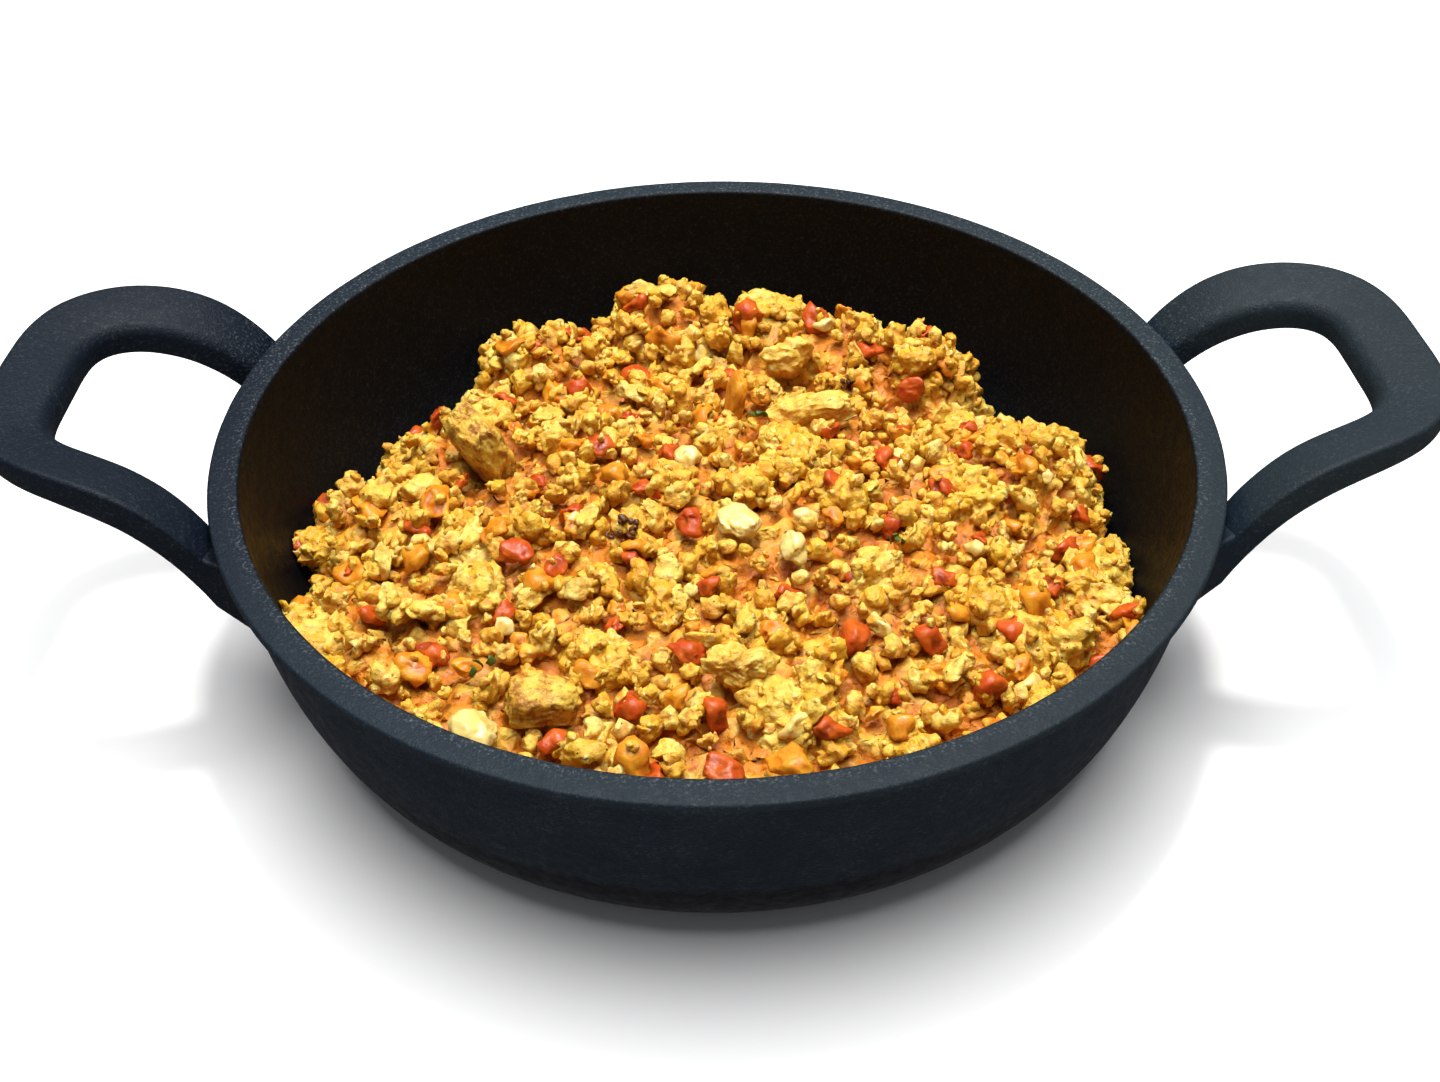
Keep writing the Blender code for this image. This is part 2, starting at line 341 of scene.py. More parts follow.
def sphere_net(level):
    """Directions spread evenly over a sphere, and the triangles between them."""
    bm = bmesh.new()
    bmesh.ops.create_icosphere(bm, subdivisions=level, radius=1.0)
    bm.verts.ensure_lookup_table()
    directions = np.array([v.co[:] for v in bm.verts])
    triangles = np.array([[v.index for v in f.verts] for f in bm.faces])
    bm.free()
    return directions / np.linalg.norm(directions, axis=1)[:, None], triangles


def neighbour_mean(values, triangles):
    """Each point's mean with its neighbours."""
    total = values.copy()
    count = np.ones(len(values))
    for a, b in ((0, 1), (1, 2), (2, 0)):
        np.add.at(total, triangles[:, a], values[triangles[:, b]])
        np.add.at(count, triangles[:, a], 1)
    return total / count


def ball_reach(directions, centre, radius):
    """How far out along each direction the far skin of a ball lies, or 0 where it is missed."""
    along = directions @ centre
    inside = along**2 - centre @ centre + radius**2
    return np.where(inside > 0, along + np.sqrt(np.maximum(inside, 0.0)), 0.0)


def random_direction(draw):
    way = draw.normal(size=3)
    return way / np.linalg.norm(way)


def crumbly_reach(directions, draw, lobes, knobs, knob_size):
    """Skin of a torn curd: a few lobes run together, all over small round knobs."""
    reach = np.full(len(directions), 0.5)
    for _ in range(lobes):
        centre = random_direction(draw) * draw.uniform(0.3, 0.62)
        reach = np.maximum(reach, ball_reach(directions, centre, draw.uniform(0.36, 0.56)))
    body = reach.copy()
    least, most = knob_size
    for _ in range(knobs):
        way = random_direction(draw)
        nearest = np.argmax(directions @ way)
        size = least + (most - least) * draw.uniform() ** 2.2
        centre = directions[nearest] * (body[nearest] + size * draw.uniform(-0.65, 0.1))
        reach = np.maximum(reach, ball_reach(directions, centre, size))
    return reach


def smooth_reach(directions, draw, lobes):
    """Skin of a smooth set piece: soft lobes blended together."""
    total = np.full(len(directions), 0.55**6)
    for _ in range(lobes):
        centre = random_direction(draw) * draw.uniform(0.25, 0.55)
        total += ball_reach(directions, centre, draw.uniform(0.4, 0.6)) ** 6
    return total ** (1 / 6)


def folded_reach(directions, draw):
    """Skin of a folded lump: soft overlapping lobes with creases between, crumbly on one side."""
    reach = np.full(len(directions), 0.45)
    for _ in range(draw.integers(6, 10)):
        centre = random_direction(draw) * draw.uniform(0.30, 0.66)
        reach = np.maximum(reach, ball_reach(directions, centre, draw.uniform(0.26, 0.48)))
    crumbly = crumbly_reach(directions, draw, 3, 110, (0.06, 0.18))
    side = np.clip(directions @ random_direction(draw) * 3.0 + 0.2, 0.0, 1.0)
    return reach * (1.0 - side) + np.maximum(crumbly, reach * 0.92) * side


def diced_reach(directions, draw, cuts):
    """Skin of a diced piece with soft corners: a ball cut by a few planes."""
    total = np.zeros(len(directions))
    for _ in range(cuts):
        way = random_direction(draw)
        away = draw.uniform(0.42, 0.85)
        total += (np.maximum(directions @ way, 0.0) / away) ** 7
    total += 1.0
    return total ** (-1 / 7)


def torn_reach(directions, draw):
    """Skin of a broken, cooked-down piece: flat faces with fairly sharp edges, and a few bites out."""
    total = np.ones(len(directions))
    for _ in range(draw.integers(8, 13)):
        way = random_direction(draw)
        total += (np.maximum(directions @ way, 0.0) / draw.uniform(0.4, 0.95)) ** 16
    reach = total ** (-1 / 16)
    for _ in range(3):
        bite = random_direction(draw)
        reach *= 1.0 - 0.35 * np.clip((directions @ bite - 0.6) / 0.4, 0.0, 1.0)
    return reach


def slab_reach(directions, draw):
    """Skin of a thick slab with rounded edges and a broken crust in places."""
    reach = (np.abs(directions) ** 4).sum(axis=1) ** -0.25
    body = reach.copy()
    side = random_direction(draw)
    for _ in range(90):
        way = random_direction(draw)
        if way @ side < -0.1:
            continue
        nearest = np.argmax(directions @ way)
        size = draw.uniform(0.06, 0.16)
        centre = directions[nearest] * (body[nearest] - size * draw.uniform(0.3, 0.75))
        reach = np.maximum(reach, ball_reach(directions, centre, size))
    return reach


def rough(places, draw, wide, high):
    """Small random moves for points, the same for points that lie together."""
    start = Vector(draw.uniform(-50, 50, 3))
    moves = [noise.noise_vector(Vector(p) / wide + start) for p in places]
    return np.array([m[:] for m in moves]) * high


def food_mesh(name, places, triangles, hollow):
    """A mesh with how deep in a hollow each point lies stored on it."""
    mesh = bpy.data.meshes.new(name)
    mesh.from_pydata(places.tolist(), [], triangles.tolist())
    mesh.shade_smooth()
    store(mesh, "hollow", hollow)
    return mesh


KNOBS = {2: (10, 0.18, 0.40), 3: (26, 0.14, 0.34), 4: (80, 0.09, 0.26), 5: (260, 0.055, 0.20)}


def food_reach(kind, directions, draw, level):
    """Distance out to a piece's skin along each direction, for one of the kinds of skin."""
    if kind == "crumbly":
        knobs, least, most = KNOBS[level]
        return crumbly_reach(directions, draw, draw.integers(4, 8), knobs, (least, most))
    if kind == "smooth":
        return smooth_reach(directions, draw, draw.integers(3, 6))
    if kind == "folded":
        return folded_reach(directions, draw)
    if kind == "slab":
        return slab_reach(directions, draw)
    if kind == "torn":
        return torn_reach(directions, draw)
    return diced_reach(directions, draw, draw.integers(7, 11))


NETS = {level: sphere_net(level) for level in (2, 3, 4, 5)}


def curd(name, level, seed, kind, shape, uneven):
    """One piece of food about 2 across, as a mesh: kind says which skin it has."""
    draw = np.random.default_rng(seed)
    directions, triangles = NETS[level]
    reach = food_reach(kind, directions, draw, level)
    even = reach
    for _ in range(3 if level < 5 else 6):
        even = neighbour_mean(even, triangles)
    hollow = np.clip((even - reach) * 9 + 0.35, 0.0, 1.0)
    squash = np.array([1.0, draw.uniform(0.72, 1.0), draw.uniform(*shape)])
    places = directions * reach[:, None] * squash
    places += rough(places, draw, 0.45, uneven)
    places += rough(places, draw, 0.16, uneven * 0.45)
    return food_mesh(name, places, triangles, hollow)


def family(stem, count, level, seed, kind, shape, uneven):
    """Some pieces of one kind of skin, each a little different."""
    return [curd(f"{stem}_{i}", level, seed + i, kind, shape, uneven) for i in range(count)]


def torn_sheet(name, seed, bend, columns=11, rows=7, thickness=0.13):
    """A torn scrap of set egg sheet, bent over, as a mesh about 2 long."""
    draw = np.random.default_rng(seed)
    start = Vector(draw.uniform(-50, 50, 3))
    top = []
    for j in range(rows):
        for i in range(columns):
            u = i / (columns - 1) * 2 - 1
            v = j / (rows - 1) * 2 - 1
            ragged = 1 + 0.28 * noise.noise(Vector((u * 1.7, v * 1.7, 0)) + start)
            across = v * 0.55 * ragged * (1 - 0.35 * abs(u) ** 3)
            along = u * ragged
            a = along * bend
            wave = 0.13 * noise.noise(Vector((u * 2.2, v * 2.2, 5)) + start)
            radius = 1 / max(bend, 0.2)
            out = math.sin(a) * (radius + wave)
            top.append(Vector((out, across, (math.cos(a) - 1) * radius + wave)))
    top = np.array([p[:] for p in top])
    under = top - np.array([0, 0, thickness])
    places = np.vstack([top, under])
    count = rows * columns
    faces = []
    for j in range(rows - 1):
        for i in range(columns - 1):
            a = j * columns + i
            b, c, d = a + 1, a + columns + 1, a + columns
            faces += [[a, b, c], [a, c, d]]
            faces += [[a + count, c + count, b + count], [a + count, d + count, c + count]]
    ring = list(range(columns))
    ring += [j * columns + columns - 1 for j in range(1, rows)]
    ring += [(rows - 1) * columns + i for i in range(columns - 2, -1, -1)]
    ring += [j * columns for j in range(rows - 2, 0, -1)]
    for a, b in zip(ring, ring[1:] + ring[:1]):
        faces += [[a, a + count, b + count], [a, b + count, b]]
    places = places + rough(places, draw, 0.3, 0.05)
    hollow = np.full(len(places), 0.35)
    return food_mesh(name, places, np.array(faces), hollow)


# Heap ----------------------------------------------------------------------------------------


class Heap:
    """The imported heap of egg, asked for its height at a place."""

    def __init__(self, node):
        corners = [v.co for v in node.data.vertices]
        faces = [p.vertices[:] for p in node.data.polygons]
        self.tree = BVHTree.FromPolygons(corners, faces)

    def top(self, x, y):
        hit = self.tree.ray_cast(Vector((x, y, 1.0)), Vector((0, 0, -1)))[0]
        return hit.z if hit else None


def inner_wall_radius(z):
    """Distance from the pan's axis to its inner wall at a height."""
    inner_top = PAN_HEIGHT - INNER_ROUNDING
    share = np.clip((z - FLOOR_THICKNESS) / (inner_top - FLOOR_THICKNESS), 0.0, 1.0)
    across = np.sqrt(1.0 - (1.0 - share) ** 2)
    return FLOOR_RADIUS + (INNER_TOP_RADIUS - FLOOR_RADIUS) * across


def keep_in_pan(mesh):
    """Presses food that would pass through the iron flat against it."""
    places = points_of(mesh)
    places[:, 2] = np.clip(places[:, 2], FLOOR_THICKNESS + FOOD_GAP, cad_box[1][2] - 0.1 * MM)
    away = np.hypot(places[:, 0], places[:, 1])
    limit = inner_wall_radius(places[:, 2]) - FOOD_GAP
    shrink = np.minimum(1.0, limit / np.maximum(away, MM))
    places[:, :2] *= shrink[:, None]
    move_points(mesh, places)


def store_free(mesh, toppings):
    """Stores how far each point of a mesh is, seen from above, from the nearest large piece."""
    places = points_of(mesh)
    free = np.full(len(places), 1.0)
    for name in toppings:
        low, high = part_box(name)
        half = (high - low) / 2
        across = (places[:, 0] - (low.x + high.x) / 2) / half.x
        along = (places[:, 1] - (low.y + high.y) / 2) / half.y
        free = np.minimum(free, (np.hypot(across, along) - 1.0) * min(half.x, half.y))
    store(mesh, "free", free)


def heap_skin(heap, sink):
    """An open square net over the heap, sink under its top, for pieces to be scattered on."""
    bm = bmesh.new()
    steps = int(FLOOR_RADIUS * 2.4 / HEAP_GRID)
    start = -steps * HEAP_GRID / 2
    found = {}
    for i in range(steps + 1):
        for j in range(steps + 1):
            x = start + i * HEAP_GRID
            y = start + j * HEAP_GRID
            z = heap.top(x, y)
            if z is not None:
                found[i, j] = bm.verts.new((x, y, max(z - sink, FLOOR_THICKNESS + MM)))
    for i, j in found:
        corners = [found.get(k) for k in ((i, j), (i + 1, j), (i + 1, j + 1), (i, j + 1))]
        if all(corners):
            bm.faces.new(corners)
    loose = [v for v in bm.verts if not v.link_faces]
    bmesh.ops.delete(bm, geom=loose, context="VERTS")
    for _ in range(2):
        bmesh.ops.smooth_vert(bm, verts=bm.verts, factor=0.4, use_axis_z=True)
    return new_object("heap_skin", mesh_from_bm("heap_skin", bm))


def heap_core(heap, material):
    """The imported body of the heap: many round lumps run together, a little under its outline."""
    draw = np.random.default_rng(11)
    directions, triangles = NETS[2]
    places = []
    faces = []
    count = 0
    step = CORE_LUMP_SPACING
    half = int(FLOOR_RADIUS * 1.15 / step)
    for i in range(-half, half + 1):
        for j in range(-half, half + 1):
            x, y = (np.array([i, j]) + draw.uniform(-0.5, 0.5, 2)) * step
            radius = draw.uniform(2.2, 4.8) * MM
            top = heap.top(x, y)
            if top is None:
                continue
            top -= CORE_SINK + abs(draw.normal()) * 1.9 * MM
            z = max(top - radius, FLOOR_THICKNESS + radius * 0.6)
            while z > FLOOR_THICKNESS:
                places.append(directions * radius + np.array([x, y, z]))
                faces.append(triangles + count)
                count += len(directions)
                z -= radius * 1.3
                radius = max(radius, 3.6 * MM)
    places = np.vstack(places)
    mesh = bpy.data.meshes.new("core_lumps")
    mesh.from_pydata(places.tolist(), [], np.vstack(faces).tolist())
    lumps = new_object("core_lumps", mesh)
    remesh = lumps.modifiers.new("remesh", "REMESH")
    remesh.mode = "VOXEL"
    remesh.voxel_size = CORE_VOXEL
    mesh = plain_mesh(lumps)
    discard(lumps)
    roughen_core(mesh, heap)
    keep_in_pan(mesh)
    mesh.shade_smooth()
    return new_object("egg_core", mesh, material)


def roughen_core(mesh, heap):
    """Gives the core small knobs, and stores how far each point lies under the heap's outline."""
    places = points_of(mesh)
    draw = np.random.default_rng(12)
    places += rough(places, draw, 3.0 * MM, 2.6 * MM)
    places += rough(places, draw, 1.3 * MM, 1.0 * MM)
    move_points(mesh, places)
    # The deeper a point lies, the more painted shade the core's finish gives it
    depth = [(heap.top(x, y) or z) - z for x, y, z in places]
    hollow = np.clip((np.array(depth) - CORE_SINK) / (3.5 * MM) + 0.4, 0.3, 1.0)
    store(mesh, "hollow", hollow)
    store(mesh, "shade", 0.5 + 0.4 * rough(places, draw, 6 * MM, 1.0)[:, 0])


# Scattering ----------------------------------------------------------------------------------


def scatter_tree():
    """Node tree that lays pieces over a skin: spacing, sizes, tilt, lift and seed are its inputs."""
    tree = bpy.data.node_groups.new("lay_pieces", "GeometryNodeTree")
    inputs = (
        ("Skin", "Geometry"), ("Pieces", "Collection"), ("Finish", "Material"), ("Clearance", "Float"),
        ("Spacing", "Float"), ("Amount", "Float"), ("Smallest", "Float"), ("Largest", "Float"),
        ("Tilt", "Vector"), ("Lowest", "Float"), ("Highest", "Float"), ("Seed", "Int"),
    )
    for name, kind in inputs:
        tree.interface.new_socket(name=name, in_out="INPUT", socket_type="NodeSocket" + kind)
    tree.interface.new_socket(name="Laid", in_out="OUTPUT", socket_type="NodeSocketGeometry")
    given = add_node(tree, "NodeGroupInput").outputs

    free = add_node(tree, "GeometryNodeInputNamedAttribute", data_type="FLOAT", Name="free")
    clear = add_node(
        tree, "ShaderNodeMath", free.outputs["Attribute"], given["Clearance"], operation="GREATER_THAN",
    )
    spread = add_node(
        tree, "GeometryNodeDistributePointsOnFaces", distribute_method="POISSON", Mesh=given["Skin"],
        Selection=clear.outputs[0], Distance_Min=given["Spacing"], Density_Max=POINTS_PER_AREA,
        Density_Factor=given["Amount"], Seed=given["Seed"],
    )
    lift = random_number(tree, given["Lowest"], given["Highest"], given["Seed"], 1)
    rise = add_node(
        tree, "ShaderNodeVectorMath", operation="SCALE", Vector=spread.outputs["Normal"], Scale=lift,
    )
    move = add_node(
        tree, "GeometryNodeSetPosition", Geometry=spread.outputs["Points"], Offset=rise.outputs["Vector"],
    )

    size = random_number(tree, given["Smallest"], given["Largest"], given["Seed"], 2)
    other_way = add_node(
        tree, "ShaderNodeVectorMath", operation="SCALE", Vector=given["Tilt"], Scale=-1.0,
    )
    swing = add_node(
        tree, "FunctionNodeRandomValue", data_type="FLOAT_VECTOR", Min=other_way.outputs["Vector"],
        Max=given["Tilt"], Seed=given["Seed"],
    )
    turn = add_node(
        tree, "FunctionNodeRotateRotation", rotation_space="LOCAL", Rotation=spread.outputs["Rotation"],
        Rotate_By=swing.outputs["Value"],
    )
    source = add_node(
        tree, "GeometryNodeCollectionInfo", Collection=given["Pieces"], Separate_Children=True,
        Reset_Children=True,
    )
    place = add_node(
        tree, "GeometryNodeInstanceOnPoints", Points=move.outputs["Geometry"], Pick_Instance=True,
        Instance=source.outputs["Instances"], Rotation=turn.outputs["Rotation"], Scale=size,
    )

    shade = add_node(
        tree, "GeometryNodeStoreNamedAttribute", data_type="FLOAT", domain="INSTANCE", Name="shade",
        Geometry=place.outputs["Instances"], Value=random_number(tree, 0.0, 1.0, given["Seed"], 3),
    )
    realize = add_node(tree, "GeometryNodeRealizeInstances", Geometry=shade.outputs["Geometry"])
    paint = add_node(
        tree, "GeometryNodeSetMaterial", Geometry=realize.outputs["Geometry"], Material=given["Finish"],
    )
    add_node(tree, "NodeGroupOutput", Laid=paint.outputs["Geometry"])
    return tree


def random_number(tree, low, high, seed, step):
    """A random number for each point, between two sockets or two numbers."""
    pick = add_node(tree, "FunctionNodeRandomValue", data_type="FLOAT")
    for name, value in (("Min", low), ("Max", high)):
        socket = [s for s in pick.inputs if s.name == name and s.type == "VALUE" and s.enabled][0]
        if isinstance(value, float):
            socket.default_value = value
        else:
            tree.links.new(value, socket)
    change = add_node(tree, "ShaderNodeMath", seed, step * SEED_STEP, operation="ADD")
    tree.links.new(change.outputs[0], pick.inputs["Seed"])
    return [s for s in pick.outputs if s.type == "VALUE" and s.enabled][0]


def scatter(name, tree, skin, meshes, material, **values):
    """One piece made of many: meshes laid over the skin by the tree, kept clear of the iron."""
    pile = bpy.data.collections.new(name + "_kinds")
    kinds = []
    for mesh in meshes:
        kind = bpy.data.objects.new(mesh.name, mesh)
        pile.objects.link(kind)
        kinds.append(kind)
    carrier = bpy.data.objects.new(name + "_carrier", skin)
    bpy.context.scene.collection.objects.link(carrier)
    laying = carrier.modifiers.new("lay", "NODES")
    laying.node_group = tree
    values.update(Pieces=pile, Finish=material)
    for item in tree.interface.items_tree:
        if item.in_out == "INPUT" and item.name in values:
            laying[item.identifier] = values[item.name]
    mesh = plain_mesh(carrier)
    discard(carrier, *kinds)
    bpy.data.collections.remove(pile)
    keep_in_pan(mesh)
    mesh.shade_smooth()
    return new_object(name, mesh, material)


def lay_each(rows, tree, skin):
    """The pieces that a table asks for, by name, laid over a skin. Its rows are in millimetres."""
    laid = {}
    for name, shapes, finish, clearance, spacing, amount, sizes, tilt, lift, seed in rows:
        laid[name] = scatter(
            name, tree, skin, shapes, finish, Clearance=clearance * MM, Spacing=spacing * MM,
            Amount=amount, Smallest=sizes[0] * MM, Largest=sizes[1] * MM, Tilt=tilt,
            Lowest=lift[0] * MM, Highest=lift[1] * MM, Seed=seed,
        )
    return laid


def exposed_skin(meshes, toppings):
    """The parts of some meshes that can be seen from above, as one open mesh for flakes to lie on."""
    corners = []
    faces = []
    for mesh in meshes:
        start = len(corners)
        corners += [v.co.copy() for v in mesh.vertices]
        faces += [tuple(start + i for i in p.vertices) for p in mesh.polygons]
    tree = BVHTree.FromPolygons(corners, faces)
    ways = (Vector((0, 0, 1)), Vector((0.6, -0.5, 0.6)), Vector((-0.6, -0.5, 0.6)))
    seen = []
    for face in faces:
        a, b, c = (corners[i] for i in face[:3])
        normal = (b - a).cross(c - a).normalized()
        if normal.z < -0.15:
            continue
        start = (a + b + c) / 3 + normal * 0.1 * MM
        tried = ways[:1] if normal.z > 0.6 else ways
        if any(tree.ray_cast(start, way)[0] is None for way in tried):
            seen.append(face)
    skin_mesh = bpy.data.meshes.new("exposed_skin")
    skin_mesh.from_pydata(corners, [], seen)
    store_free(skin_mesh, toppings)
    return skin_mesh


def strewn(name, heap, meshes, material, spots, stray, count_each, sizes, lift, seed):
    """One piece of a few bits dropped around some spots on the heap."""
    draw = np.random.default_rng(seed)
    places = []
    faces = []
    count = 0
    for spot in spots:
        for _ in range(count_each):
            mesh = meshes[draw.integers(len(meshes))]
            x, y = np.array(spot) + draw.normal(size=2) * stray
            bit = np.array([v.co[:] for v in mesh.vertices]) * draw.uniform(*sizes)
            leaning = draw.uniform(-1.2, 1.2, 3)
            turn = Euler(leaning + np.array([0, 0, draw.uniform(0, 6)])).to_matrix()
            bit = bit @ np.array(turn).T + np.array([x, y, heap.top(x, y) + draw.uniform(*lift)])
            places.append(bit)
            faces += [[count + i for i in p.vertices] for p in mesh.polygons]
            count += len(bit)
    places = np.vstack(places)
    made = food_mesh(name, places, np.array(faces), np.full(len(places), 0.4))
    keep_in_pan(made)
    return new_object(name, made, material)


# Finishes ------------------------------------------------------------------------------------


class Finish:
    """A material under construction, with short ways to add nodes."""

    def __init__(self, name):
        self.material = bpy.data.materials.new(name)
        self.material.use_nodes = True
        self.tree = self.material.node_tree
        self.shader = self.tree.nodes["Principled BSDF"]
        coordinates = self.add("TexCoord").outputs
        self.place = coordinates["Object"]
        self.facing = coordinates["Normal"]

    def add(self, kind, *given, **values):
        return add_node(self.tree, "ShaderNode" + kind, *given, **values)

    def set(self, **values):
        for name, value in values.items():
            self.shader.inputs[name.replace("_", " ")].default_value = value

    def link(self, output, name):
        self.tree.links.new(output, self.shader.inputs[name])

    def noise(self, size, detail=3.0, roughness=0.55):
        """Noise whose patches are size wide, from 0 to 1."""
        made = self.add("TexNoise", Vector=self.place, Scale=1 / size, Detail=detail, Roughness=roughness)
        return made.outputs["Fac"]

    def cells(self, size, feature="F1"):
        """Distance from the middle of the nearest cell, cells being size wide."""
        made = self.add("TexVoronoi", feature=feature, Vector=self.place, Scale=1 / size)
        return made.outputs["Distance"]

    def attribute(self, name):
        return self.add("Attribute", attribute_name=name).outputs["Fac"]

    def axes(self, vector):
        """A vector's x, y and z."""
        return self.add("SeparateXYZ", vector).outputs

    def span(self, value, low, high, to_low=0.0, to_high=1.0):
        """Maps low..high to to_low..to_high, and holds the ends."""
        ends = {"From_Min": low, "From_Max": high, "To_Min": to_low, "To_Max": to_high}
        return self.add("MapRange", Value=value, **ends).outputs["Result"]

    def math(self, operation, a, b):
        return self.add("Math", a, b, operation=operation).outputs[0]

    def ramp(self, value, *stops):
        """Colours along a value, each stop a (position, colour)."""
        made = self.add("ValToRGB", Fac=value)
        made.color_ramp.elements.remove(made.color_ramp.elements[1])
        for i, (position, colour) in enumerate(stops):
            stop = made.color_ramp.elements[0] if i == 0 else made.color_ramp.elements.new(position)
            stop.position = position
            stop.color = (*colour, 1.0)
        return made.outputs["Color"]

    def mix(self, share, a, b):
        """Colour a with b laid over it."""
        made = self.add("Mix", share, data_type="RGBA")
        for name, value in (("A", a), ("B", b)):
            socket = [s for s in made.inputs if s.name == name and s.type == "RGBA"][0]
            if isinstance(value, tuple):
                socket.default_value = (*value, 1.0)
            else:
                self.tree.links.new(value, socket)
        return [s for s in made.outputs if s.type == "RGBA"][0]

    def bump(self, height, distance, strength=1.0, under=None):
        """Relief distance deep, on top of another where one is given."""
        made = self.add("Bump", Height=height, Distance=distance, Strength=strength)
        if under is not None:
            self.tree.links.new(under, made.inputs["Normal"])
        return made.outputs["Normal"]


IRON_OUTSIDE = (0.0055, 0.0118, 0.0205)
IRON_SWELL = (0.0080, 0.0150, 0.0245)
# Painted shade, for the lower wall and the left loop
IRON_PAINTED_SHADE = (0.0012, 0.0026, 0.0085)
# Real wear on the top edges, made brighter towards the right as painted light
IRON_WORN_AND_LIT = (0.014, 0.021, 0.025)
IRON_SAND = (0.085, 0.100, 0.110)
IRON_INSIDE = (0.0011, 0.0016, 0.0026)
IRON_INSIDE_BROWN = (0.0021, 0.0024, 0.0031)


def cast_iron():
    """Sand-cast iron: blue-black outside, darker towards the base and on the left loop as painted shade,
    near black and brownish inside, worn lighter on top edges and more so towards the right as painted
    light.
    """
    finish = Finish("cast_iron_seasoned")
    x, y, z = finish.axes(finish.place)
    squares = finish.math("ADD", finish.math("MULTIPLY", x, x), finish.math("MULTIPLY", y, y))
    away = finish.math("SQRT", squares, 0.0)
    inside = finish.span(away, 113.6 * MM, 113.0 * MM)
    swell = finish.noise(14 * MM, 4)
    grain = finish.noise(0.5 * MM, 2, 0.7)
    outside = finish.mix(finish.span(swell, 0.35, 0.7), IRON_OUTSIDE, IRON_SWELL)
    # Painted shade: darker towards the base
    outside = finish.mix(finish.span(z, 44 * MM, 6 * MM, 0.0, 0.9), outside, IRON_PAINTED_SHADE)
    # Painted shade: the left side and its loop darker
    outside = finish.mix(finish.span(x, -70 * MM, -115 * MM, 0.0, 0.68), outside, IRON_PAINTED_SHADE)
    raised = finish.span(z, PAN_HEIGHT - 3 * MM, PAN_HEIGHT - MM)
    # Real wear on the raised edges, more of it towards the right as painted light
    wear_and_painted_light = finish.math("MULTIPLY", raised, finish.span(x, -125 * MM, 90 * MM, 0.15, 0.8))
    outside = finish.mix(wear_and_painted_light, outside, IRON_WORN_AND_LIT)
    browned = finish.span(finish.noise(5 * MM, 5), 0.45, 0.75)
    within = finish.mix(browned, IRON_INSIDE, IRON_INSIDE_BROWN)
    body = finish.mix(inside, outside, within)
    sand = finish.span(finish.noise(0.8 * MM, 2, 0.85), 0.54, 0.72)
    near = finish.span(away, 140 * MM, 118 * MM)
    root = finish.math("MULTIPLY", near, finish.span(y, -10 * MM, 30 * MM))
    # More sand shows on the rim's inner edge: partly real grain, partly a painted sheen
    edge = finish.math("MULTIPLY", finish.span(away, 117 * MM, 114.5 * MM), raised)
    coarse = finish.span(swell, 0.4, 0.7, 0.12, 0.40)
    coarse = finish.math("MAXIMUM", coarse, finish.math("MAXIMUM", root, edge))
    coarse = finish.math("MULTIPLY", coarse, finish.span(inside, 0.0, 1.0, 0.9, 0.16))
    sandy = finish.math("MULTIPLY", sand, coarse)
    finish.link(finish.mix(sandy, body, IRON_SAND), "Base Color")
    finish.set(Metallic=0.0, Specular_IOR_Level=0.12)
    finish.link(finish.span(finish.noise(3 * MM, 4), 0.3, 0.7, 0.42, 0.62), "Roughness")
    fine = finish.bump(grain, 0.22 * MM, 0.9)
    finish.link(finish.bump(finish.noise(1.6 * MM, 3), 0.25 * MM, 0.55, fine), "Normal")
    return finish.material


# Painted highlight for the tips of small curds
PAINTED_TIP_HIGHLIGHT = (0.83, 0.675, 0.34)
PALE = (0.78, 0.62, 0.225)
YELLOW = (0.75, 0.53, 0.085)
GOLD = (0.70, 0.41, 0.026)
AMBER = (0.67, 0.32, 0.011)
PEACH = (0.67, 0.31, 0.030)
# Painted shade for the hollows, with some tomato juice in it
HOLLOW_SHADE_ORANGE = (0.57, 0.165, 0.005)
# Dark red for the core in the gaps: partly juice, partly painted shade
JUICE_AND_SHADE = (0.32, 0.042, 0.002)


